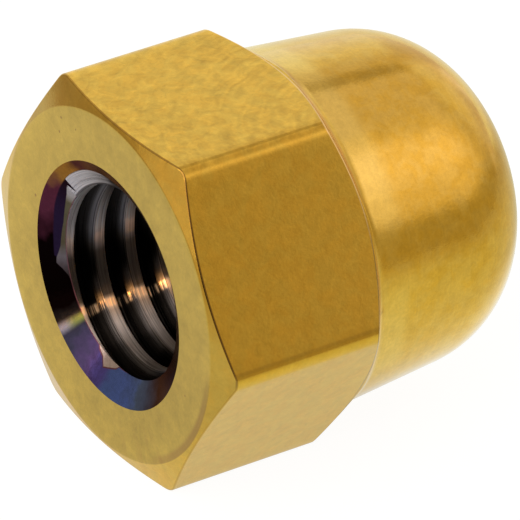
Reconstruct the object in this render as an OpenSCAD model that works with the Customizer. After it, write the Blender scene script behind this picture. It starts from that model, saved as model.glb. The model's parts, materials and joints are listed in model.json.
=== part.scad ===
/* [Hexagon] */
// Width across the flats, mm
flats_w = 13; // [12:0.1:17]
// Height of the hexagon at the middle of a flat, mm
hex_h = 6.8; // [5.5:0.1:8]
// Rounding of the six long edges, mm
edge_r = 0.6; // [0.2:0.1:1]
// Diameter of the flat ring that bears on the work, mm
bearing_d = 12.7; // [11.5:0.1:12.9]
// Slope of the chamfer at the mouth, degrees from the bearing face
mouth_chamfer = 20; // [10:1:30]
// Slope of the chamfer on the cap side, degrees from the bearing face
cap_chamfer = 34; // [30:1:45]

/* [Cap] */
// Height of the whole nut, mm
nut_h = 15; // [14:0.1:18]
// Diameter of the collar where it leaves the hexagon, mm
collar_d = 12.9; // [11.5:0.1:12.9]
// Taper of the collar towards the cap, degrees a side
collar_taper = 5.3; // [1:0.1:6]
// Blend between the hexagon and the collar, mm
root_r = 0.7; // [0.2:0.1:1.2]
// Radius of the cap's shoulder, mm
shoulder_r = 4.2; // [3:0.1:5]
// Radius of the cap's crown, mm
crown_r = 18; // [12:1:40]

/* [Bore] */
// Diameter of the bore at the crests of its thread, mm
bore_d = 6.85; // [5:0.05:7.5]
// Depth of the bore at its full diameter, mm
bore_depth = 11; // [9:0.1:11.2]
// Angle of the drill point at the bottom of the bore, degrees
point_angle = 118; // [100:1:140]
// Diameter of the countersink at the mouth, mm
sink_d = 8.9; // [8:0.1:10]
// Angle of the countersink, degrees
sink_angle = 125; // [80:1:130]

/* [Hidden] */
$fn = 96;
gold = [0.84, 0.68, 0.34];
// Cutting shapes reach this far past the faces that they cut
past = 1;
// Distance from the axis to the centre of a long edge's rounding, and to the edge itself
edge_centre = (flats_w / 2 - edge_r) / cos(30);
edge_reach = edge_centre + edge_r;
// Faces that make up each rounding
edge_steps = 6;
collar_r = collar_d / 2;
// Chamfer of the mouth: its depth at the reach of the long edges
mouth_drop = (edge_reach - bearing_d / 2) * tan(mouth_chamfer);
// Chamfer of the cap side: its height there and where it meets the collar
cap_low = hex_h - (edge_reach - flats_w / 2) * tan(cap_chamfer);
cap_high = hex_h + (flats_w / 2 - collar_r) * tan(cap_chamfer);
// The blend's arc touches the chamfer and the tapered collar
root_turn = 90 - cap_chamfer - collar_taper;
root_leg = root_r * tan(root_turn / 2);
root_from = [collar_r + root_leg * cos(cap_chamfer), cap_high - root_leg * sin(cap_chamfer)];
root_centre = root_from + root_r * [sin(cap_chamfer), cos(cap_chamfer)];
// The shoulder's arc touches the collar's taper and, from inside, the crown's arc
crown_centre = nut_h - crown_r;
taper_axis = collar_r + cap_high * tan(collar_taper) - shoulder_r / cos(collar_taper);
quad_a = 1 + pow(tan(collar_taper), 2);
quad_b = -2 * (crown_centre + taper_axis * tan(collar_taper));
quad_c = pow(crown_centre, 2) + pow(taper_axis, 2) - pow(crown_r - shoulder_r, 2);
shoulder_z = (-quad_b + sqrt(pow(quad_b, 2) - 4 * quad_a * quad_c)) / (2 * quad_a);
shoulder_x = taper_axis - shoulder_z * tan(collar_taper);
crown_turn = atan2(shoulder_x, shoulder_z - crown_centre);
// Depths of the countersink and of the drill point
sink_depth = (sink_d - bore_d) / 2 / tan(sink_angle / 2);
point_depth = bore_d / 2 / tan(point_angle / 2);

// Points of an arc in the plane of the profile, by angle from the axis
function arc(centre, r, from, to, steps) =
    [for (i = [0 : steps]) let (a = from + (to - from) * i / steps)
        centre + r * [sin(a), cos(a)]];

// Outline of the turned form: bearing face, chamfers, collar, shoulder and crown
module turned_profile() {
    polygon(concat(
        [[0, 0], [bearing_d / 2, 0], [edge_reach, mouth_drop], [edge_reach, cap_low]],
        arc(root_centre, root_r, 180 + cap_chamfer, 270 - collar_taper, 8),
        arc([shoulder_x, shoulder_z], shoulder_r, 90 - collar_taper, crown_turn, 32),
        arc([0, crown_centre], crown_r, crown_turn, 0, 12)
    ));
}

// Outline of the hexagon bar, with its corners rounded, a flat at the top and at the bottom
module hexagon_outline() {
    polygon([for (corner = [0 : 5]) let (axis = 30 + 60 * corner)
        for (i = [0 : edge_steps]) let (a = axis - 30 + 60 * i / edge_steps)
            edge_centre * [cos(axis), sin(axis)] + edge_r * [cos(a), sin(a)]]);
}

// Blind bore with its countersink and drill point, along the axis from the mouth
module bore() {
    rotate_extrude() polygon([
        [0, -past],
        [sink_d / 2 + past * tan(sink_angle / 2), -past],
        [bore_d / 2, sink_depth],
        [bore_d / 2, bore_depth],
        [0, bore_depth + point_depth]
    ]);
}

// The nut lies on a flat: mouth towards -X, cap towards +X, origin at the mouth's centre
module cap_nut() {
    color(gold) rotate([0, 90, 0]) difference() {
        intersection() {
            translate([0, 0, -past]) linear_extrude(nut_h + 2 * past) hexagon_outline();
            rotate_extrude() turned_profile();
        }
        bore();
    }
}

cap_nut();
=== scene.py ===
import json
import math
from collections import namedtuple

import bmesh
import bpy
from mathutils import Matrix, Vector


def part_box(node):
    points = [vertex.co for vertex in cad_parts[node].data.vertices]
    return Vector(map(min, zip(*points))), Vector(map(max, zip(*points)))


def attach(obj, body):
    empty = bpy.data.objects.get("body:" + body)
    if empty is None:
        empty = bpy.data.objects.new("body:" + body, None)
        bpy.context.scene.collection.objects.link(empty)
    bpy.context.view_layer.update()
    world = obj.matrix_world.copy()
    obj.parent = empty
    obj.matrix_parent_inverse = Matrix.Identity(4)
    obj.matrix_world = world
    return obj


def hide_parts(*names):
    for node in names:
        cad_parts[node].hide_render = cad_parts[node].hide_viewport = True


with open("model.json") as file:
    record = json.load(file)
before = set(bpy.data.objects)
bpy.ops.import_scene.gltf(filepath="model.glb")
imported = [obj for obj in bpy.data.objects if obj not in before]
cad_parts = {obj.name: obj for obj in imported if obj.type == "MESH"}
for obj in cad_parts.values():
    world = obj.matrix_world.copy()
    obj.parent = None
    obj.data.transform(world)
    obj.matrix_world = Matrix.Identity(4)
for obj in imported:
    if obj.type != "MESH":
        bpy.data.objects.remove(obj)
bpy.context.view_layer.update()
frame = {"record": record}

# Sizes of the nut in metres, along X from the mouth's face and square to its axis
MM = 0.001
nut_low, nut_high = (Vector(corner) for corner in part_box("cap_nut"))
NUT_LENGTH = nut_high.x - nut_low.x
FLAT_REACH = nut_high.z
EDGE_ROUND = 0.6 * MM
HEX_LENGTH = 6.8 * MM
BEARING_R = 6.35 * MM
MOUTH_SLOPE = math.radians(20)
CAP_SLOPE = math.radians(34)
COLLAR_R = 6.45 * MM
COLLAR_TAPER = math.radians(5.3)
ROOT_R = 0.7 * MM
SHOULDER_R = 4.2 * MM
CROWN_R = 18 * MM
BREAK_R = 0.07 * MM
BEARING_ROUND = 0.3 * MM
EDGE_SUPPORT = 0.02 * MM

# The bore, its thread and its countersink
thread_mount = next(m for m in frame["record"]["mounts"] if m["name"] == "thread")
CREST_R = thread_mount["dims"]["r_mm"] * MM
BORE_END = thread_mount["pos_m"][0] + thread_mount["dims"]["length_mm"] * MM
PITCH = 1.25 * MM
ROOT_OF_THREAD_R = 4.06 * MM
FLANK = math.radians(30)
CREST_START = 0.746 * MM
CREST_WIDTH = 0.424 * MM
CREST_ROUND = 0.03 * MM
GROOVE_ROUND = 0.09 * MM
RUN_OUT_TURNS = 2
# The thread has run out a little before the bore ends
THREAD_END = BORE_END - 0.3 * PITCH
SINK_R = 4.45 * MM
SINK_HALF = math.radians(62.5)
POINT_HALF = math.radians(59)

# The tools that cut the bore: turns of thread and tip ahead of the mouth, both ends of the countersink's cone
TURNS_AHEAD = 2
THREAD_TOOL_TIP = -3 * PITCH
SINK_TOOL_START = -0.4 * MM
SINK_TOOL_END_R = 0.8 * CREST_R

# Resolution of the mesh: columns round the axis, steps of its arcs, rows along it, and rings of the mouth's face
# as shares of the way out
FLAT_COLUMNS = 26
ROUND_COLUMNS = 8
THREAD_COLUMNS = 120
THREAD_ROUND_STEPS = 3
BEARING_STEPS = 3
BREAK_STEPS = 4
ROOT_STEPS = 24
SHOULDER_STEPS = 26
CROWN_STEPS = 9
FLAT_ROWS = 6
BLEND_ROWS = 14
COLLAR_ROWS = 5
FACE_RINGS = (0.25, 0.5, 0.75, 0.9)
SHARP_FROM = math.radians(24)

# Limits: the most of a side that a rounding takes, and what counts as no length, as one point and as no edge
MOST_OF_SIDE = 0.45
NO_LENGTH = 1e-12
SAME_POINT = 0.0005 * MM
SHORTEST_EDGE = 0.0001 * MM

# Finishes of the nut's faces, and how the faces of the bore and of its countersink are told apart
COATING, COUNTERSINK, THREAD = 0, 1, 2
MOUTH_GAP = 0.0001 * MM
INSIDE_END = BORE_END + 3 * MM
CONE_GAP = 0.004 * MM
CONE_FACING = -0.8
# How strongly the broad faces set the shading beside them
FLAT_FACE_WEIGHT = 100


def arc(centre, radius, start, end, steps):
    """Points (x, r) on an arc whose angles are counted from the axis."""
    turns = [start + (end - start) * i / steps for i in range(steps + 1)]
    return [(centre[0] + radius * math.cos(a), centre[1] + radius * math.sin(a)) for a in turns]


def resample(points, steps):
    """The same open line with evenly spaced points."""
    lengths = [0.0]
    for a, b in zip(points, points[1:]):
        lengths.append(lengths[-1] + math.dist(a, b))
    made, k = [], 0
    for i in range(steps + 1):
        at = lengths[-1] * i / steps
        while k < len(points) - 2 and lengths[k + 1] < at:
            k += 1
        share = (at - lengths[k]) / max(lengths[k + 1] - lengths[k], NO_LENGTH)
        made.append(tuple(a + (b - a) * share for a, b in zip(points[k], points[k + 1])))
    return made


def rounded_corner(before, corner, after, radius, steps):
    """Arc points that round a corner of a line, touching both of its sides."""
    before, corner, after = Vector(before), Vector(corner), Vector(after)
    to_before, to_after = (before - corner), (after - corner)
    half = to_before.angle(to_after) / 2
    leg = min(radius / math.tan(half), MOST_OF_SIDE * to_before.length, MOST_OF_SIDE * to_after.length)
    radius = leg * math.tan(half)
    start, end = corner + to_before.normalized() * leg, corner + to_after.normalized() * leg
    inwards = (to_before.normalized() + to_after.normalized()).normalized()
    centre = corner + inwards * (radius / math.sin(half))
    made = []
    for i in range(steps + 1):
        share = i / steps
        ray = (start - centre).lerp(end - centre, share)
        made.append(tuple(centre + ray.normalized() * radius))
    return made


def supported(start, end, steps):
    """Points between two rounded edges, with one close beside each so that the face shades flat."""
    length = math.dist(start, end)
    close = min(EDGE_SUPPORT, length / 4) / length
    shares = [close] + [i / steps for i in range(1, steps)] + [1 - close]
    return [tuple(a + (b - a) * share for a, b in zip(start, end)) for share in shares]


def long_edge():
    """Distance of a long edge's rounding from the axis, and half the angle that it takes up there."""
    centre = (FLAT_REACH - EDGE_ROUND) / math.cos(math.pi / 6)
    touch = math.atan2(math.sin(math.pi / 6) * EDGE_ROUND, centre + math.cos(math.pi / 6) * EDGE_ROUND)
    return centre, touch


def hexagon_reach(turn):
    """Distance from the axis to the side of the rounded hexagon, with a flat at turn 0."""
    centre, touch = long_edge()
    off = abs((turn + math.pi / 6) % (math.pi / 3) - math.pi / 6)
    from_corner = math.pi / 6 - off
    if from_corner > touch:
        return FLAT_REACH / math.cos(off)
    across = centre * math.sin(from_corner)
    return centre * math.cos(from_corner) + math.sqrt(EDGE_ROUND ** 2 - across ** 2)


def column_turns():
    """Angles of the mesh's columns, close together at the six rounded edges."""
    touch = long_edge()[1]
    half = math.pi / 6 - touch
    turns = []
    for side in range(6):
        middle = side * math.pi / 3
        turns += [middle - half + 2 * half * i / FLAT_COLUMNS for i in range(FLAT_COLUMNS)]
        turns += [middle + half + 2 * touch * i / ROUND_COLUMNS for i in range(ROUND_COLUMNS)]
    return turns


def cap_profile():
    """Turned outline from the hexagon's cap side to the crown: root, shoulder, crown."""
    high = HEX_LENGTH + (FLAT_REACH - COLLAR_R) * math.tan(CAP_SLOPE)
    turn = math.pi / 2 - CAP_SLOPE - COLLAR_TAPER
    leg = ROOT_R * math.tan(turn / 2)
    start = (high - leg * math.sin(CAP_SLOPE), COLLAR_R + leg * math.cos(CAP_SLOPE))
    centre = (start[0] + ROOT_R * math.cos(CAP_SLOPE), start[1] + ROOT_R * math.sin(CAP_SLOPE))
    root = arc(centre, ROOT_R, math.pi + CAP_SLOPE, 1.5 * math.pi - COLLAR_TAPER, ROOT_STEPS)
    crown_x = NUT_LENGTH - CROWN_R
    slope = math.tan(COLLAR_TAPER)
    axis_r = COLLAR_R + high * slope - SHOULDER_R / math.cos(COLLAR_TAPER)
    a = 1 + slope ** 2
    b = -2 * (crown_x + axis_r * slope)
    c = crown_x ** 2 + axis_r ** 2 - (CROWN_R - SHOULDER_R) ** 2
    shoulder_x = (-b + math.sqrt(b * b - 4 * a * c)) / (2 * a)
    shoulder = (shoulder_x, axis_r - shoulder_x * slope)
    crown_turn = math.atan2(shoulder[1], shoulder[0] - crown_x)
    cap = arc(shoulder, SHOULDER_R, math.pi / 2 - COLLAR_TAPER, crown_turn, SHOULDER_STEPS)
    crown = arc((crown_x, 0), CROWN_R, crown_turn, 0, CROWN_STEPS)[1:-1]
    return root, cap, crown


def outer_meridian(reach, root, cap, crown):
    """Outline (x, r) of one column, from the bearing face to the crown."""
    mouth_x = (reach - BEARING_R) * math.tan(MOUTH_SLOPE)
    if reach > root[0][1]:
        cap_x = root[0][0] - (reach - root[0][1]) * math.tan(CAP_SLOPE)
        side = [(cap_x, reach)] + root
    else:
        k = next(i for i, p in enumerate(root) if p[1] < reach)
        share = (root[k - 1][1] - reach) / (root[k - 1][1] - root[k][1])
        cap_x = root[k - 1][0] + (root[k][0] - root[k - 1][0]) * share
        side = [(cap_x, reach)] + root[k:]
    front, back = (mouth_x, reach), (cap_x, reach)
    inner = SINK_R / 2
    face = [(0.0, inner + (BEARING_R - inner) * share) for share in FACE_RINGS]
    bearing_edge = rounded_corner((0, SINK_R), (0, BEARING_R), front, BEARING_ROUND, BEARING_STEPS)
    front_edge = rounded_corner((0, BEARING_R), front, back, BREAK_R, BREAK_STEPS)
    back_edge = rounded_corner(front, back, side[2], BREAK_R, BREAK_STEPS)
    flat = supported(front_edge[-1], back_edge[0], FLAT_ROWS)
    chamfer = supported(bearing_edge[-1], front_edge[0], 1)
    blend = resample([back_edge[-1]] + side[2:], BLEND_ROWS)[1:]
    collar = resample([root[-1], cap[0]], COLLAR_ROWS)[1:-1]
    return face + bearing_edge + chamfer + front_edge + flat + back_edge + blend + collar + cap + crown


def lathe(name, columns, first_pole, last_pole):
    """Closed mesh from columns of points, with a pole on the axis at each end."""
    count = len(columns[0])
    vertices = [p for column in columns for p in column] + [first_pole, last_pole]
    near, far = len(vertices) - 2, len(vertices) - 1
    faces = []
    for i in range(len(columns)):
        here, there = i * count, (i + 1) % len(columns) * count
        faces.append((near, here, there))
        for k in range(count - 1):
            faces.append((here + k, here + k + 1, there + k + 1, there + k))
        faces.append((far, there + count - 1, here + count - 1))
    return new_object(name, vertices, faces)


def new_object(name, vertices, faces):
    """Object with a mesh of its own, in the scene."""
    mesh = bpy.data.meshes.new(name)
    mesh.from_pydata([tuple(v) for v in vertices], [], faces)
    mesh.validate()
    piece = bpy.data.objects.new(name, mesh)
    bpy.context.scene.collection.objects.link(piece)
    return piece


def at(x, r, turn):
    """Point at a turn about the nut's axis, counted from +Z towards +Y."""
    return (x, r * math.sin(turn), r * math.cos(turn))


def blank():
    """The nut's outside as one closed solid with no bore."""
    parts = cap_profile()
    columns = []
    for turn in column_turns():
        line = outer_meridian(hexagon_reach(turn), *parts)
        columns.append([at(x, r, turn) for x, r in line])
    return lathe("nut_blank", columns, (0, 0, 0), (NUT_LENGTH, 0, 0))


def thread_section():
    """Outline (offset along the axis, r) of one pitch, from the start of a crest."""
    crest = CREST_WIDTH
    slant = (ROOT_OF_THREAD_R - CREST_R) * math.tan(FLANK)
    root_width = PITCH - crest - 2 * slant
    corners = [(0, CREST_R), (crest, CREST_R), (crest + slant, ROOT_OF_THREAD_R),
               (crest + slant + root_width, ROOT_OF_THREAD_R), (PITCH, CREST_R), (PITCH + crest, CREST_R)]
    points = []
    for k, radius in enumerate((CREST_ROUND, GROOVE_ROUND, GROOVE_ROUND, CREST_ROUND), start=1):
        points += rounded_corner(corners[k - 1], corners[k], corners[k + 1], radius, THREAD_ROUND_STEPS)
    return points


def bore_tool():
    """Solid that leaves the threaded bore and its drill point when it is cut away."""
    section = thread_section()
    turns_in = math.ceil((BORE_END + TURNS_AHEAD * PITCH) / PITCH)
    start = CREST_START - TURNS_AHEAD * PITCH
    columns = []
    for j in range(THREAD_COLUMNS):
        turn = 2 * math.pi * j / THREAD_COLUMNS
        column = []
        for m in range(turns_in + 1):
            for off, r in section:
                x = start + m * PITCH + off - PITCH * turn / (2 * math.pi)
                left = (THREAD_END - x) / (RUN_OUT_TURNS * PITCH)
                r = CREST_R + (r - CREST_R) * max(0.0, min(1.0, left))
                column.append((min(x, BORE_END), r))
        columns.append([at(x, r, turn) for x, r in column])
    return helix_solid("bore_tool", columns, len(section))


def helix_solid(name, columns, shift):
    """Closed mesh whose last column joins the first one a pitch further out."""
    count = len(columns[0])
    last = len(columns) - 1
    vertices = [p for column in columns for p in column]
    vertices += [(THREAD_TOOL_TIP, 0, 0), (BORE_END + CREST_R / math.tan(POINT_HALF), 0, 0)]
    near, far = len(vertices) - 2, len(vertices) - 1
    faces = []
    for i in range(last):
        here, there = i * count, (i + 1) * count
        faces += [(here + k, there + k, there + k + 1, here + k + 1) for k in range(count - 1)]
    here = last * count
    faces += [(here + k, k - shift, k - shift + 1, here + k + 1) for k in range(shift, count - 1)]
    low = [i * count for i in range(last + 1)] + list(range(here + 1, here + shift + 1))
    high = [i * count + count - 1 for i in range(last + 1)] + list(range(count - 1 - shift, count - 1))
    faces += [(near, b, a) for a, b in zip(low, low[1:] + low[:1])]
    faces += [(far, a, b) for a, b in zip(high, high[1:] + high[:1])]
    return new_object(name, vertices, faces)


def sink_tool():
    """Cone that leaves the countersink when it is cut away."""
    slope = math.tan(SINK_HALF)
    ends = [SINK_TOOL_START, (SINK_R - SINK_TOOL_END_R) / slope]
    columns = []
    for j in range(2 * THREAD_COLUMNS):
        turn = math.pi * j / THREAD_COLUMNS
        columns.append([at(x, SINK_R - x * slope, turn) for x in ends])
    return lathe("sink_tool", columns, (ends[0], 0, 0), (ends[1], 0, 0))


def tidy_mesh(piece, triangles=False):
    """Merges doubled points and points every face outwards."""
    shape = bmesh.new()
    shape.from_mesh(piece.data)
    bmesh.ops.remove_doubles(shape, verts=shape.verts, dist=SAME_POINT)
    bmesh.ops.dissolve_degenerate(shape, edges=shape.edges, dist=SHORTEST_EDGE)
    if triangles:
        bmesh.ops.triangulate(shape, faces=shape.faces)
    bmesh.ops.recalc_face_normals(shape, faces=shape.faces)
    shape.to_mesh(piece.data)
    shape.free()


def cut(piece, tool):
    """Cuts a tool's shape out of a piece and removes the tool."""
    change = piece.modifiers.new("cut", "BOOLEAN")
    change.operation = "DIFFERENCE"
    change.solver = "EXACT"
    change.object = tool
    result = bpy.data.meshes.new_from_object(piece.evaluated_get(bpy.context.evaluated_depsgraph_get()))
    piece.modifiers.clear()
    piece.data = result
    bpy.data.objects.remove(tool)


def build_nut():
    """The whole nut as one smooth mesh, with a finish for each of its faces."""
    nut = blank()
    tidy_mesh(nut)
    for tool in (bore_tool(), sink_tool()):
        tidy_mesh(tool, triangles=True)
        cut(nut, tool)
    nut.name = "cap_nut_body"
    nut.data.name = "cap_nut_body"
    mesh = nut.data
    slope = math.tan(SINK_HALF)
    for face in mesh.polygons:
        face.use_smooth = True
        x, r = face.center.x, math.hypot(face.center.y, face.center.z)
        cone_gap = (SINK_R - x * slope - r) * math.cos(SINK_HALF)
        face.material_index = COATING
        if MOUTH_GAP < x < INSIDE_END and r < SINK_R:
            on_cone = abs(cone_gap) < CONE_GAP and face.normal.x < CONE_FACING
            face.material_index = COUNTERSINK if on_cone else THREAD
    mesh.set_sharp_from_angle(angle=SHARP_FROM)
    weight = nut.modifiers.new("flat_faces", "WEIGHTED_NORMAL")
    weight.keep_sharp = True
    weight.weight = FLAT_FACE_WEIGHT
    return nut


nut = build_nut()
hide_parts("cap_nut")
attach(nut, "root")


class Graph:
    """Short names for the shader nodes that make up the materials and the studio."""

    def __init__(self, tree):
        self.tree = tree

    def add(self, kind, **settings):
        node = self.tree.nodes.new(kind)
        for name, value in settings.items():
            setattr(node, name, value)
        return node

    def put(self, socket, value):
        """Links a node's output to a socket, or sets the socket's own number or colour."""
        if isinstance(value, bpy.types.NodeSocket):
            self.tree.links.new(value, socket)
        elif isinstance(value, tuple) and len(value) == 3 and len(socket.default_value) == 4:
            socket.default_value = (*value, 1.0)
        else:
            socket.default_value = value

    def math(self, operation, a, b=0.0):
        node = self.add("ShaderNodeMath", operation=operation)
        self.put(node.inputs[0], a)
        self.put(node.inputs[1], b)
        return node.outputs[0]

    def plus(self, a, b):
        return self.math("ADD", a, b)

    def minus(self, a, b):
        return self.math("SUBTRACT", a, b)

    def times(self, value, *factors):
        for factor in factors:
            value = self.math("MULTIPLY", value, factor)
        return value

    def largest(self, a, b):
        return self.math("MAXIMUM", a, b)

    def absolute(self, value):
        return self.math("ABSOLUTE", value)

    def sum(self, *terms, level=0.0):
        """A level plus values, each given as (value, weight)."""
        total = level
        for value, weight in terms:
            total = self.plus(total, self.times(value, weight))
        return total

    def remap(self, value, low, high, to_low=0.0, to_high=1.0):
        """Soft step from one number to another between two limits of the value."""
        node = self.add("ShaderNodeMapRange", interpolation_type="SMOOTHSTEP")
        for name, given in zip(("Value", "From Min", "From Max", "To Min", "To Max"),
                               (value, low, high, to_low, to_high)):
            self.put(node.inputs[name], given)
        return node.outputs[0]

    def fall(self, value, low, high):
        """One below two limits and nothing above them."""
        return self.remap(value, low, high, 1.0, 0.0)

    def window(self, value, low, high, soft):
        """One between two limits and nothing outside them, with soft ends."""
        rise = self.remap(value, low - soft, low + soft)
        return self.times(rise, self.fall(value, high - soft, high + soft))

    def mix(self, share, a, b):
        """Colour a, with a share of colour b over it."""
        node = self.add("ShaderNodeMix", data_type="RGBA")
        self.put(node.inputs[0], share)
        self.put(node.inputs[6], a)
        self.put(node.inputs[7], b)
        return node.outputs[2]

    def vector(self, operation, a, b):
        node = self.add("ShaderNodeVectorMath", operation=operation)
        self.put(node.inputs[0], a)
        self.put(node.inputs[1], b)
        return node.outputs["Vector"]

    def parts(self, vector):
        node = self.add("ShaderNodeSeparateXYZ")
        self.put(node.inputs[0], vector)
        return node.outputs[0], node.outputs[1], node.outputs[2]

    def joined(self, x, y, z):
        node = self.add("ShaderNodeCombineXYZ")
        for socket, value in zip(node.inputs, (x, y, z)):
            self.put(socket, value)
        return node.outputs[0]

    def noise(self, place, scale=1.0, detail=2.0, rough=0.5, twist=0.0):
        node = self.add("ShaderNodeTexNoise")
        for name, given in zip(("Vector", "Scale", "Detail", "Roughness", "Distortion"),
                               (place, scale, detail, rough, twist)):
            self.put(node.inputs[name], given)
        return node.outputs[0]

    def length(self, a, b):
        return self.math("SQRT", self.plus(self.times(a, a), self.times(b, b)))

    def turn(self, y, z):
        """Angle about the nut's axis in degrees, counted from +Z towards +Y."""
        angle = self.math("DEGREES", self.math("ARCTAN2", y, z))
        return self.math("FLOORED_MODULO", angle, FULL_TURN)

    def ramp(self, value, low, high, stops):
        """Colour by value: stops are (value, colour) between the two limits."""
        node = self.add("ShaderNodeValToRGB")
        marks = node.color_ramp.elements
        for k, (at_value, colour) in enumerate(stops):
            mark = marks[k] if k < len(marks) else marks.new(1.0)
            mark.position = (at_value - low) / (high - low)
            mark.color = (*colour, 1.0)
        self.put(node.inputs[0], self.math("DIVIDE", self.minus(value, low), high - low))
        return node.outputs[0]

    def curve(self, value, stops):
        """Number by value: stops are (value, number), joined by straight lines."""
        least, most = min(number for at_value, number in stops), max(number for at_value, number in stops)
        shades = [(at_value, ((number - least) / (most - least),) * 3) for at_value, number in stops]
        share = self.ramp(value, stops[0][0], stops[-1][0], shades)
        return self.plus(self.times(share, most - least), least)

    def scaled(self, colour, factor):
        node = self.add("ShaderNodeVectorMath", operation="SCALE")
        self.put(node.inputs[0], colour)
        self.put(node.inputs["Scale"], factor)
        return node.outputs[0]

    def bump(self, height, depth):
        node = self.add("ShaderNodeBump")
        self.put(node.inputs["Height"], height)
        self.put(node.inputs["Distance"], depth)
        return node.outputs[0]


FULL_TURN = 360.0
HALF_TURN = 180.0
# Place on the nut in mm: the point, its coordinates, its distance from the axis and its angle about the axis
Spot = namedtuple("Spot", "point x y z r turn")


def new_material(name):
    """A metal material, its graph, its shader and the place on the nut."""
    made = bpy.data.materials.new(name)
    made.use_nodes = True
    graph = Graph(made.node_tree)
    shader = made.node_tree.nodes["Principled BSDF"].inputs
    shader["Metallic"].default_value = 1.0
    point = graph.vector("MULTIPLY", graph.add("ShaderNodeTexCoord").outputs["Object"], (1 / MM,) * 3)
    x, y, z = graph.parts(point)
    return made, graph, shader, Spot(point, x, y, z, graph.length(y, z), graph.turn(y, z))


# Coating: yellower and redder spots of the flats and of the turned cap, the painted reflection at the cap's
# foot, the mouth, its stain and the lines along the edges, with painted highlight and shade at the back and a
# painted dark reflection low on the right flat
FLAT_YELLOW = (0.765, 0.485, 0.067)
FLAT_ORANGE = (0.780, 0.468, 0.058)
CAP_YELLOW = (0.80, 0.51, 0.084)
CAP_ORANGE = (0.78, 0.470, 0.056)
PAINTED_SHEEN_GOLD = (0.88, 0.615, 0.135)
MOUTH_GOLD = (0.79, 0.525, 0.080)
STAIN = (0.46, 0.25, 0.05)
# Dark of the line along the front edge, also used for the painted dark reflection along the lower edge
EDGE_DARK_LINE = (0.22, 0.11, 0.03)
# Painted highlight and painted shade of the line along the back edges
PAINTED_EDGE_HIGHLIGHT = (0.98, 0.70, 0.34)
PAINTED_EDGE_SHADE = (0.34, 0.24, 0.10)
HUE_SHIFT = (31.0, 7.0, 3.0)

# Where the mouth's face ends and the turned cap starts along X, and the top flat along Z, in mm
FACE_ENDS = (0.004, 0.012)
CAP_STARTS = (6.9, 7.1)
TOP_STARTS = (6.35, 6.45)
# Centre of the milling arcs, as X and Y, and where the fine ones come in along X
MILLING_CENTRE = (8.3, -5.1)
FINE_ARCS_START = (2.5, 5.0)
# Painted reflection at the foot of the cap: where it ends along X, where its upper part starts, counted in
# degrees from straight below, and the angles of its fainter lower part
FOOT_ENDS = (7.8, 8.5)
UPPER_SIDE_STARTS = (110.0, 126.0)
FOOT_BELOW = (246.0, 280.0)
# Lines along the edges, in mm: their limits behind the front and the back edge, the distances from the axis
# where a corner and a flat's edge start, and the distance from which the back line of painted highlight and
# shade is drawn
FRONT_LINE = (-0.030, 0.048)
BACK_LINE = (-0.040, 0.0)
CORNER_STARTS = (7.33, 7.38)
FLAT_EDGE_STARTS = (FLAT_REACH / MM - 0.045, FLAT_REACH / MM - 0.030)
BACK_LINE_STARTS = (6.42, 6.5)
# Painted dark reflection along the lower long edge of the right flat: its angles and where it starts behind the
# front edge
LOW_EDGE = (272.0, 272.9)
LOW_EDGE_STARTS = (0.02, 0.06)
# How dark the line along the front edge is, by the angle about the axis in degrees
FRONT_DARKNESS = ((0, 0.60), (30, 0.35), (60, 0.25), (240, 0.25), (268, 0.30), (274, 0.85), (326, 0.85), (334, 0.60),
        (360, 0.60))
# Marks of the mouth's face: distances from the axis and angles of the stain, angles of the smears
STAIN_RING = (6.10, 6.42)
STAIN_TURNS = (214.0, 262.0)
SMEAR_TURNS = (190.0, 222.0)
# Dark specks on the mouth face: angle about the axis, distance from it and radius in mm
SPECKS = ((76, 4.76, 0.06), (36, 5.52, 0.05), (24, 5.55, 0.04), (32, 5.98, 0.05), (251, 5.2, 0.04))
# Depth of the coating's bumps
COATING_BUMP = 0.004 * MM


def milling_arcs(graph, spot):
    """Broad and fine marks that the milling cutter left as arcs."""
    from_centre = graph.length(graph.minus(spot.x, MILLING_CENTRE[0]), graph.minus(spot.y, MILLING_CENTRE[1]))
    wander = graph.noise(spot.point, scale=1.1)
    bent = graph.sum((from_centre, 3.4), (wander, 2.2))
    broad = graph.noise(graph.joined(bent, graph.times(spot.x, 0.5), graph.times(spot.y, 0.5)),
                        detail=3.0, rough=0.6, twist=0.3)
    fine = graph.math("SINE", graph.sum((from_centre, 22.0), (wander, 7.0)))
    return broad, graph.times(fine, graph.remap(spot.x, *FINE_ARCS_START))


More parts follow.
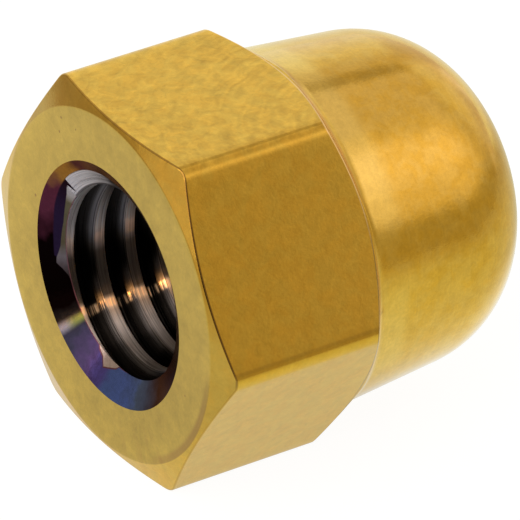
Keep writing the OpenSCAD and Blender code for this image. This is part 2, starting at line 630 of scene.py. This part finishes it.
def edge_lines(graph, spot, colour, flats, upper):
    """The colour with a dark line along the front edge, painted highlight and shade along the back edges, and a
    painted dark reflection below.
    """
    mouth_x = graph.times(graph.minus(spot.r, BEARING_R / MM), math.tan(MOUTH_SLOPE))
    behind_front = graph.minus(spot.x, mouth_x)
    cap_drop = graph.times(graph.minus(spot.r, FLAT_REACH / MM), math.tan(CAP_SLOPE))
    behind_back = graph.minus(graph.plus(spot.x, cap_drop), HEX_LENGTH / MM)
    slanted = graph.sum((graph.absolute(spot.y), math.cos(math.pi / 6)),
                        (graph.absolute(spot.z), math.sin(math.pi / 6)))
    to_flat = graph.largest(graph.absolute(spot.z), slanted)
    near_edge = graph.largest(graph.remap(spot.r, *CORNER_STARTS), graph.remap(to_flat, *FLAT_EDGE_STARTS))

    # Dark along the front edge, most of all along the right flat, and at the back a painted highlight above and
    # painted shade below
    front_dark = graph.times(graph.window(behind_front, *FRONT_LINE, soft=0.008), near_edge,
                       graph.curve(spot.turn, FRONT_DARKNESS))
    back_highlight = graph.times(graph.window(behind_back, *BACK_LINE, soft=0.012),
                         graph.remap(spot.r, *BACK_LINE_STARTS))
    colour = graph.mix(front_dark, colour, EDGE_DARK_LINE)
    colour = graph.mix(graph.times(back_highlight, 0.8), colour, graph.mix(upper, PAINTED_EDGE_SHADE, PAINTED_EDGE_HIGHLIGHT))

    # Painted dark reflection: a fainter dark line along the lower long edge of the right flat
    low_dark_reflection = graph.times(graph.window(spot.turn, *LOW_EDGE, soft=0.4), flats,
                           graph.remap(behind_front, *LOW_EDGE_STARTS))
    return graph.mix(graph.times(low_dark_reflection, 0.24), colour, EDGE_DARK_LINE)


def mouth_marks(graph, spot):
    """How strongly the mouth's face is marked by its brown stain, radial smears and dark specks."""
    stain = graph.times(graph.window(spot.r, *STAIN_RING, soft=0.10),
                        graph.window(spot.turn, *STAIN_TURNS, soft=14.0))
    smears = graph.noise(graph.joined(graph.times(spot.turn, 0.22), graph.times(spot.r, 0.5), 0.0))
    smears = graph.times(graph.remap(smears, 0.50, 0.70), graph.window(spot.turn, *SMEAR_TURNS, soft=8.0))
    specks = 0.0
    for speck_turn, speck_r, size in SPECKS:
        angle = math.radians(speck_turn)
        off = graph.length(graph.minus(spot.y, speck_r * math.sin(angle)),
                           graph.minus(spot.z, speck_r * math.cos(angle)))
        specks = graph.largest(specks, graph.fall(off, 0.6 * size, 1.3 * size))
    return graph.sum((stain, 0.72), (smears, 0.26), (specks, 0.8))


def gold_coating():
    """Satin gold-coloured coating: milled flats, a smooth mouth face and a turned cap."""
    made, graph, shader, spot = new_material("gold_coating")
    mouth = graph.fall(spot.x, *FACE_ENDS)
    turned = graph.remap(spot.x, *CAP_STARTS)
    flats = graph.minus(graph.minus(1.0, mouth), turned)
    top = graph.times(flats, graph.remap(spot.z, *TOP_STARTS))

    # Blotches, a fine grain and a drift of the hue all over, tool lines round the cap, smudges on the mouth
    blotch = graph.noise(spot.point, scale=2.2, detail=3.0, rough=0.55, twist=0.6)
    grain = graph.noise(spot.point, scale=9.0, detail=3.0, rough=0.6)
    hue = graph.noise(graph.vector("ADD", spot.point, HUE_SHIFT), scale=1.6, detail=3.0, rough=0.6, twist=0.5)
    arcs, fine_arcs = milling_arcs(graph, spot)
    tool_lines = graph.joined(graph.times(spot.x, 11.0), graph.times(spot.r, 11.0),
                              graph.sum((spot.y, 0.3), (spot.z, 0.2)))
    tool_lines = graph.noise(tool_lines, detail=3.0, rough=0.65)
    smudge = graph.joined(graph.times(spot.turn, 0.08), graph.times(spot.r, 0.7), 4.0)
    smudge = graph.noise(smudge, detail=3.0)

    # Brightness of each part, where the mouth also gets brighter towards the top and towards its sides as
    # painted light
    uneven = graph.sum((blotch, 0.50), (arcs, 0.42), (fine_arcs, 0.030), level=-0.43)
    flat_tone = graph.sum((blotch, 0.30), (grain, 0.18), (uneven, top), level=0.76)
    turned_tone = graph.sum((blotch, 0.34), (tool_lines, 0.14), (grain, 0.28), level=0.62)
    mouth_tone = graph.sum((blotch, 0.35), (smudge, 0.40), (grain, 0.20), (spot.y, 0.011), (spot.z, 0.021),
                           (graph.times(spot.y, spot.y), 0.0047), level=0.385)
    tone = graph.sum((flat_tone, flats), (turned_tone, turned), (mouth_tone, mouth))

    # A painted reflection: a paler band at the foot of the cap, over its top and far side and fainter below
    from_below = graph.math("FLOORED_MODULO", graph.minus(spot.turn, HALF_TURN), FULL_TURN)
    upper = graph.remap(from_below, *UPPER_SIDE_STARTS)
    foot = graph.largest(upper, graph.times(graph.window(spot.turn, *FOOT_BELOW, soft=6.0), 0.7))
    painted_light = graph.times(turned, foot, graph.remap(spot.x, *FOOT_ENDS, 0.85, 0.0))
    redder = graph.remap(hue, 0.36, 0.64)
    cap_colour = graph.mix(painted_light, graph.mix(redder, CAP_YELLOW, CAP_ORANGE), PAINTED_SHEEN_GOLD)
    colour = graph.mix(turned, graph.mix(redder, FLAT_YELLOW, FLAT_ORANGE), cap_colour)
    colour = graph.scaled(graph.mix(mouth, colour, MOUTH_GOLD), tone)
    colour = edge_lines(graph, spot, colour, flats, upper)
    marks = graph.math("MINIMUM", graph.times(mouth_marks(graph, spot), mouth), 1.0)
    graph.put(shader["Base Color"], graph.mix(marks, colour, STAIN))

    graph.put(shader["Roughness"], graph.sum((blotch, 0.06), (turned, -0.03), level=0.13))
    height = graph.sum((graph.times(top, arcs), 0.9), (graph.times(turned, tool_lines), 0.30),
                       (grain, 0.5), (blotch, 0.5))
    graph.put(shader["Normal"], graph.bump(height, COATING_BUMP))
    return made


# Heat colours of the countersink, with black as painted dark reflection
BRONZE = (0.42, 0.20, 0.06)
BROWN = (0.11, 0.062, 0.022)
UMBER = (0.060, 0.023, 0.030)
STRAW = (0.37, 0.17, 0.032)
PLUM = (0.105, 0.023, 0.038)
PAINTED_DARK_REFLECTION = (0.003, 0.001, 0.001)
DARK_GREY = (0.018, 0.016, 0.016)
SLATE = (0.036, 0.036, 0.064)
VIOLET = (0.078, 0.050, 0.140)
INDIGO = (0.12, 0.10, 0.36)
BLUE = (0.105, 0.17, 0.44)
STEEL_BLUE = (0.070, 0.095, 0.120)
# How they follow each other round the bore, by the angle about the axis in degrees; the black from 93 to 131
# degrees, fading out through dark grey at 138, is painted dark reflection
TINT = (
    (0, BRONZE), (12, BROWN), (30, UMBER), (42, STRAW), (52, STRAW), (64, PLUM), (77, PLUM), (93, PAINTED_DARK_REFLECTION),
    (131, PAINTED_DARK_REFLECTION), (138, DARK_GREY), (149, SLATE), (163, VIOLET), (173, INDIGO), (181, BLUE), (190, BLUE),
    (205, STEEL_BLUE), (226, DARK_GREY), (244, DARK_GREY), (275, BROWN), (340, BROWN), (359, BRONZE),
)
# The dark crescent inside them: its reach from the axis in mm by the angle, where its colour changes, and both
# colours
CRESCENT_REACH = ((17, 3.4), (21, 4.07), (35, 4.00), (44, 4.04), (53, 4.04), (63, 4.00), (74, 3.96),
                  (84, 3.90), (96, 3.88), (104, 3.89), (108, 3.4))
CRESCENT_TURNS = (45.0, 80.0)
CRESCENT_BLACK = (0.010, 0.006, 0.008)
CRESCENT_BLUE = (0.022, 0.012, 0.032)
# The lip where the tap has cut: its reach, the angles that its colours span, and the colours by the angle
LIP_REACH = ((53, 3.4), (55, 3.85), (61, 3.72), (68, 3.64), (75, 3.59), (82, 3.56), (91, 3.60), (98, 3.64),
             (102, 3.73), (105, 3.82), (108, 3.85), (111, 3.67), (115, 3.50), (120, 3.42))
LIP_TURNS = (50.0, 120.0)
LIP = ((52, (0.50, 0.46, 0.42)), (60, (0.40, 0.36, 0.30)), (66, (0.14, 0.12, 0.06)), (96, (0.10, 0.08, 0.04)),
       (104, (0.17, 0.14, 0.13)), (110, (0.09, 0.07, 0.07)), (118, (0.03, 0.025, 0.02)))
# The bare tip on the other side: its reach, its colour, and the width and colour of its dark rim
TIP_REACH = ((160, 3.4), (162, 3.48), (167, 3.57), (171, 3.79), (176, 3.64), (180, 3.53), (182, 3.4))
TIP = (0.62, 0.50, 0.42)
TIP_RIM_WIDTH = 0.05
TIP_RIM = (0.20, 0.07, 0.08)
# Painted glint: a pale strip beside the dark side of the bore: its angles, where it changes colour, and both
# colours
GLINT_TURNS = (138.0, 142.0)
GLINT_CHANGES = (3.75, 4.25)
GLINT_GREEN = (0.28, 0.34, 0.08)
GLINT_GREY = (0.36, 0.36, 0.44)
# Roughness of the countersink, its tint at a low angle and the depth of its bumps
TINT_ROUGHNESS = 0.16
TINT_EDGE = (0.65, 0.50, 0.45)
TINT_BUMP = 0.003 * MM


def lathe_shine(graph, shader, edge_tint):
    """Fine lines round the axis that draw each reflection out along the bore, and its tint at a low angle."""
    graph.put(shader["Specular Tint"], edge_tint)
    graph.put(shader["Anisotropic"], 1.0)
    graph.put(shader["Tangent"], graph.joined(1.0, 0.0, 0.0))


def heat_tint():
    """Countersink with heat colours that change round the bore."""
    made, graph, shader, spot = new_material("heat_tint")
    wander = graph.minus(graph.noise(spot.point, scale=1.3), 0.5)
    colour = graph.ramp(graph.sum((wander, 22.0), level=spot.turn), 0.0, FULL_TURN, TINT)

    def within(reach, soft, wider=0.0):
        """One nearer to the axis than a reach that changes with the angle."""
        limit = graph.curve(spot.turn, tuple((angle, distance + wider) for angle, distance in reach))
        return graph.fall(graph.minus(spot.r, limit), -soft, soft)

    crescent = graph.mix(graph.remap(spot.turn, *CRESCENT_TURNS), CRESCENT_BLACK, CRESCENT_BLUE)
    colour = graph.mix(within(CRESCENT_REACH, 0.03), colour, crescent)
    colour = graph.mix(within(LIP_REACH, 0.012), colour, graph.ramp(spot.turn, *LIP_TURNS, LIP))
    colour = graph.mix(within(TIP_REACH, 0.015, wider=TIP_RIM_WIDTH), colour, TIP_RIM)
    colour = graph.mix(within(TIP_REACH, 0.012), colour, TIP)
    # Painted glint on a narrow strip round the bore
    painted_glint = graph.mix(graph.remap(spot.r, *GLINT_CHANGES), GLINT_GREEN, GLINT_GREY)
    colour = graph.mix(graph.times(graph.window(spot.turn, *GLINT_TURNS, soft=2.0), 0.6), colour, painted_glint)
    grain = graph.noise(spot.point, scale=7.0, detail=3.0, rough=0.6)
    graph.put(shader["Base Color"], graph.scaled(colour, graph.sum((grain, 0.5), level=0.75)))
    graph.put(shader["Roughness"], TINT_ROUGHNESS)
    lathe_shine(graph, shader, TINT_EDGE)
    graph.put(shader["Normal"], graph.bump(grain, TINT_BUMP))
    return made


# Bare steel of the thread: its crests, its start, the painted shade at the rim and the bottom of its grooves,
# dirt, and a painted glint
CREST_STEEL = (0.95, 0.88, 0.80)
ENTRY_STEEL = (0.62, 0.57, 0.52)
GROOVE_RIM_SHADE = (0.14, 0.13, 0.12)
GROOVE_BOTTOM_SHADE = (0.030, 0.026, 0.022)
DIRT = (0.05, 0.04, 0.035)
GLINT_STEEL = (1.0, 0.70, 0.40)
# Tint of the steel at a low angle and the depth of its bumps
STEEL_EDGE = (0.5, 0.48, 0.45)
STEEL_BUMP = 0.008 * MM
# Distances from the axis in mm where the crests end and where the painted shade in the grooves deepens
CREST_ENDS = (CREST_R / MM + 0.015, CREST_R / MM + 0.05)
GROOVE_DARKENS = (CREST_R / MM + 0.03, CREST_R / MM + 0.30)
# The thread's start: its angles and where it ends along X
ENTRY_TURNS = (15.0, 62.0)
ENTRY_ENDS = (0.5, 0.9)
# Dirt at the start of each crest, counted along the helix from a little before it, and where it stops along X
DIRT_BEFORE = 0.1
DIRT_LINE = (0.06, 0.13)
DIRT_ENDS = (BORE_END / MM - 0.9, BORE_END / MM - 0.5)
# How bright the thread is painted by the angle about the axis in degrees, with painted shade on the dark side,
# where that fades out along X, and the strip beside the dark side with a painted glint
PAINTED_SHADE_BY_TURN = ((0, 1.0), (92, 1.0), (106, 0.14), (133, 0.10), (135, 0.6), (139.5, 0.7), (141.5, 0.45),
             (150, 0.85), (360, 1.0))
PAINTED_SHADE_FADES = (4.0, 5.5)
GLINT_STRIP = (135.0, 139.5)


def bare_steel():
    """Tapped thread of bare steel: satin crests, painted shade in the grooves and on one side, a painted glint,
    and dirt at the start of each crest.
    """
    made, graph, shader, spot = new_material("bare_steel")
    along = graph.sum((spot.turn, PITCH / MM / FULL_TURN), level=spot.x)
    phase = graph.math("FLOORED_MODULO", graph.minus(along, CREST_START / MM - DIRT_BEFORE), PITCH / MM)
    lines = graph.joined(graph.times(along, 16.0), graph.times(spot.r, 9.0), graph.times(spot.turn, 0.02))
    lines = graph.noise(lines, detail=3.0, rough=0.7)
    crest = graph.fall(spot.r, *CREST_ENDS)
    entry = graph.times(graph.window(spot.turn, *ENTRY_TURNS, soft=4.0), graph.fall(spot.x, *ENTRY_ENDS))
    # Painted shade in the grooves, deeper towards their bottom and left out at the thread's start
    groove_shade = graph.mix(graph.remap(spot.r, *GROOVE_DARKENS), GROOVE_RIM_SHADE, GROOVE_BOTTOM_SHADE)
    colour = graph.mix(crest, graph.mix(entry, groove_shade, ENTRY_STEEL), CREST_STEEL)
    dirt = graph.times(graph.window(phase, *DIRT_LINE, soft=0.012), graph.fall(spot.x, *DIRT_ENDS))
    colour = graph.mix(graph.times(dirt, 0.8), colour, DIRT)

    # Painted shade on the darker side of the bore, with a painted glint on a strip beside it
    deeper = graph.remap(spot.x, *PAINTED_SHADE_FADES)
    colour = graph.scaled(colour, graph.largest(graph.curve(spot.turn, PAINTED_SHADE_BY_TURN), deeper))
    painted_glint = graph.times(graph.window(spot.turn, *GLINT_STRIP, soft=1.0), graph.remap(lines, 0.44, 0.60),
                         graph.minus(1.0, deeper))
    colour = graph.mix(graph.times(painted_glint, 0.7), colour, GLINT_STEEL)
    graph.put(shader["Base Color"], graph.scaled(colour, graph.sum((lines, 2.3), level=-0.15)))
    graph.put(shader["Roughness"], graph.sum((crest, 0.05), (lines, 0.1), level=0.23))
    lathe_shine(graph, shader, STEEL_EDGE)
    graph.put(shader["Normal"], graph.bump(lines, STEEL_BUMP))
    return made


# In the order of the finishes' numbers: coating, countersink, thread
for finish in (gold_coating(), heat_tint(), bare_steel()):
    nut.data.materials.append(finish)

# Camera at the photograph's angle: where it aims, how far off, and how it is turned
AIM = Vector((6.33, 0.02, -1.02)) * MM
CAMERA_AWAY = 290.22 * MM
CAMERA_AZIMUTH = math.radians(-35.14)
CAMERA_HEIGHT = math.radians(32.63)
CAMERA_ROLL = math.radians(2.55)
LENS_MM = 581.07
SENSOR_MM = 36
NEAREST_SEEN = 10 * MM

camera_data = bpy.data.cameras.new("camera")
camera_data.lens = LENS_MM
camera_data.sensor_width = SENSOR_MM
camera_data.clip_start = NEAREST_SEEN
camera = bpy.data.objects.new("camera", camera_data)
bpy.context.scene.collection.objects.link(camera)
bpy.context.scene.camera = camera
turned = (Matrix.Rotation(CAMERA_AZIMUTH, 4, "Z")
          @ Matrix.Rotation(math.pi / 2 - CAMERA_HEIGHT, 4, "X")
          @ Matrix.Rotation(CAMERA_ROLL, 4, "Z"))
camera.matrix_world = Matrix.Translation(AIM) @ turned @ Matrix.Translation((0, 0, CAMERA_AWAY))

# Pale floor under the nut: a strip that runs away from the camera, with the room dark beside it
FLOOR_HEADING = math.radians(40)
FLOOR_LEFT, FLOOR_RIGHT, FLOOR_NEAR, FLOOR_FAR = 38 * MM, 80 * MM, 400 * MM, 900 * MM
FLOOR_GAP = 0.01 * MM

along = Vector((math.sin(FLOOR_HEADING), math.cos(FLOOR_HEADING), 0))
across = Vector((along.y, -along.x, 0))
floor_mesh = bpy.data.meshes.new("floor")
corners = [across * FLOOR_RIGHT + along * FLOOR_FAR, across * FLOOR_RIGHT - along * FLOOR_NEAR,
           -across * FLOOR_LEFT - along * FLOOR_NEAR, -across * FLOOR_LEFT + along * FLOOR_FAR]
floor_mesh.from_pydata([tuple(c) for c in corners], [], [(0, 3, 2, 1)])
floor = bpy.data.objects.new("floor", floor_mesh)
floor.location.z = nut_low.z - FLOOR_GAP
bpy.context.scene.collection.objects.link(floor)

# Colours of the floor: its matt side, what the camera sees, and what a mirror sees near the nut, further off,
# far off, behind the nut, under its cap as a painted pool of light, before its mouth as the nut's painted shadow
# and far before it
FLOOR_MATT = (0.9, 0.93, 0.85)
FLOOR_SEEN = (1.1, 1.1, 1.1)
NEAR_GLOW = (0.82, 0.88, 0.94)
MIDDLE_GLOW = (0.69, 0.70, 0.51)
FAR_GLOW = (0.46, 0.41, 0.29)
BEHIND_GLOW = (0.92, 0.94, 0.74)
CAP_GLOW = (1.15, 1.28, 1.36)
MOUTH_GLOW = (0.53, 0.58, 0.78)
FAR_MOUTH_GLOW = (0.36, 0.31, 0.27)
# Where one colour gives way to the next: from the origin, along Y, from the place under the cap and along X
NEAR_TO_MIDDLE = (8 * MM, 26 * MM)
MIDDLE_TO_FAR = (20 * MM, 62 * MM)
BEHIND_STARTS = (8 * MM, 24 * MM)
UNDER_CAP_X = 15.5 * MM
UNDER_CAP_ENDS = (2 * MM, 10 * MM)
MOUTH_GLOW_ENDS = (-5 * MM, 1 * MM)
FAR_MOUTH_GLOW_ENDS = (-24 * MM, -14 * MM)
# How much of the floor glows instead of being lit, for the camera and for mirrors
SEEN_GLOW, MIRRORED_GLOW = 0.85, 0.75


def floor_white():
    """Pale matt floor that the camera sees as white with a faint shadow."""
    made = bpy.data.materials.new("floor_white")
    made.use_nodes = True
    graph = Graph(made.node_tree)
    graph.tree.nodes.clear()
    matt = graph.add("ShaderNodeBsdfDiffuse")
    graph.put(matt.inputs["Color"], FLOOR_MATT)
    x, y = graph.parts(graph.add("ShaderNodeTexCoord").outputs["Object"])[:2]
    away = graph.length(x, y)
    under_cap = graph.length(graph.minus(x, UNDER_CAP_X), y)
    painted_light = graph.mix(graph.remap(away, *NEAR_TO_MIDDLE), NEAR_GLOW, MIDDLE_GLOW)
    painted_light = graph.mix(graph.remap(away, *MIDDLE_TO_FAR), painted_light, FAR_GLOW)
    painted_light = graph.mix(graph.remap(y, *BEHIND_STARTS), painted_light, BEHIND_GLOW)
    painted_light = graph.mix(graph.fall(under_cap, *UNDER_CAP_ENDS), painted_light, CAP_GLOW)
    painted_light = graph.mix(graph.fall(x, *MOUTH_GLOW_ENDS), painted_light, MOUTH_GLOW)
    painted_light = graph.mix(graph.fall(x, *FAR_MOUTH_GLOW_ENDS), painted_light, FAR_MOUTH_GLOW)
    paths = graph.add("ShaderNodeLightPath")
    seen, mirrored = paths.outputs["Is Camera Ray"], paths.outputs["Is Glossy Ray"]
    glow = graph.add("ShaderNodeEmission")
    graph.put(glow.inputs["Color"], graph.mix(mirrored, FLOOR_SEEN, painted_light))
    both = graph.add("ShaderNodeMixShader")
    graph.put(both.inputs[0], graph.sum((seen, SEEN_GLOW), (mirrored, MIRRORED_GLOW)))
    graph.tree.links.new(matt.outputs[0], both.inputs[1])
    graph.tree.links.new(glow.outputs[0], both.inputs[2])
    out = graph.add("ShaderNodeOutputMaterial")
    graph.tree.links.new(both.outputs[0], out.inputs["Surface"])
    return made


floor_mesh.materials.append(floor_white())

# Studio light around the nut: azimuth from +Y towards +X, elevation, both in degrees
BACKDROP = (1.0, 1.0, 1.0)
ROOM = (0.70, 0.62, 0.58)
PATCHES = (
    # colour, azimuth from and to, elevation from and to, softness, rise of the patch along the azimuth
    ((0.60, 0.51, 0.44), -180, 180, 56, 100, 4, 0),
    ((0.45, 0.39, 0.34), -190, -95, -40, 50, 6, 0),
    ((0.36, 0.30, 0.25), -95, -20, -40, 30, 6, 0),
    ((0.02, 0.015, 0.01), -140, -80, -34, 12, 4, -0.9),
    ((2.10, 1.82, 1.72), -140, -60, 5, 90, 4, -0.9),
    ((0.24, 0.16, 0.07), -87, -78, -30, 6, 4, 0),
    ((0.66, 0.58, 0.60), -76, -54, -16, 6, 4, 0),
    ((0.92, 0.94, 1.00), -14, 41, -40, 33, 6, 0),
    ((0.52, 0.46, 0.40), 15, 55, 37, 57, 2.5, 0),
    ((0.45, 0.38, 0.29), 48, 55, 36, 47, 1.0, 0),
    ((0.74, 0.65, 0.66), 56, 100, 40, 56, 1.0, 0),
    ((0.97, 0.90, 0.93), 56, 64, -40, 32, 3, 0),
    ((0.94, 0.80, 0.72), 100, 142, 14, 50, 9, 0),
    ((1.16, 1.00, 1.04), 112, 133, 28, 48, 6, 0),
    ((0.84, 0.78, 0.76), 56, 84, 8, 34, 6, 0),
    ((0.46, 0.39, 0.25), 88, 190, -40, 12, 5, 0.17),
    ((0.40, 0.33, 0.22), 147, 190, -40, 40, 4, 0),
)


def studio():
    """World of soft patches that the nut reflects, in front of a white backdrop for the camera."""
    world = bpy.data.worlds.new("studio")
    world.use_nodes = True
    graph = Graph(world.node_tree)
    background = world.node_tree.nodes["Background"]
    x, y, z = graph.parts(graph.add("ShaderNodeTexCoord").outputs["Generated"])
    azimuth = graph.math("DEGREES", graph.math("ARCTAN2", x, y))
    elevation = graph.math("DEGREES", graph.math("ARCSINE", z))
    colour = ROOM
    for tint, az_low, az_high, el_low, el_high, soft, rise in PATCHES:
        height = elevation
        if rise:
            middle = (az_low + az_high) / 2
            height = graph.minus(elevation, graph.times(rise, graph.minus(azimuth, middle)))
        share = graph.times(graph.window(azimuth, az_low, az_high, soft),
                            graph.window(height, el_low, el_high, soft))
        colour = graph.mix(share, colour, tint)
    paths = graph.add("ShaderNodeLightPath")
    graph.put(background.inputs["Color"], graph.mix(paths.outputs["Is Camera Ray"], colour, BACKDROP))
    return world


bpy.context.scene.world = studio()

# A narrow lamp that shines only into the bore, where the tool lines catch it
LAMP_AZIMUTH, LAMP_HEIGHT, LAMP_AWAY = math.radians(-100.6), math.radians(23), 250 * MM
LAMP_REACH = 4.1 * MM
LAMP_SIZE = 3 * MM
LAMP_WATTS = 2.6
LAMP_COLOUR = (1.0, 0.50, 0.17)
LAMP_SOFT_RIM = 0.1

lamp_data = bpy.data.lights.new("bore_lamp", "SPOT")
lamp_data.energy = LAMP_WATTS
lamp_data.color = LAMP_COLOUR
lamp_data.spot_size = 2 * math.atan(LAMP_REACH / LAMP_AWAY)
lamp_data.spot_blend = LAMP_SOFT_RIM
lamp_data.shadow_soft_size = LAMP_SIZE
lamp = bpy.data.objects.new("bore_lamp", lamp_data)
towards = Vector((math.sin(LAMP_AZIMUTH) * math.cos(LAMP_HEIGHT),
                  math.cos(LAMP_AZIMUTH) * math.cos(LAMP_HEIGHT),
                  math.sin(LAMP_HEIGHT)))
lamp.location = towards * LAMP_AWAY
lamp.rotation_euler = towards.to_track_quat("Z", "Y").to_euler()
bpy.context.scene.collection.objects.link(lamp)
bpy.context.scene.view_settings.view_transform = "Standard"
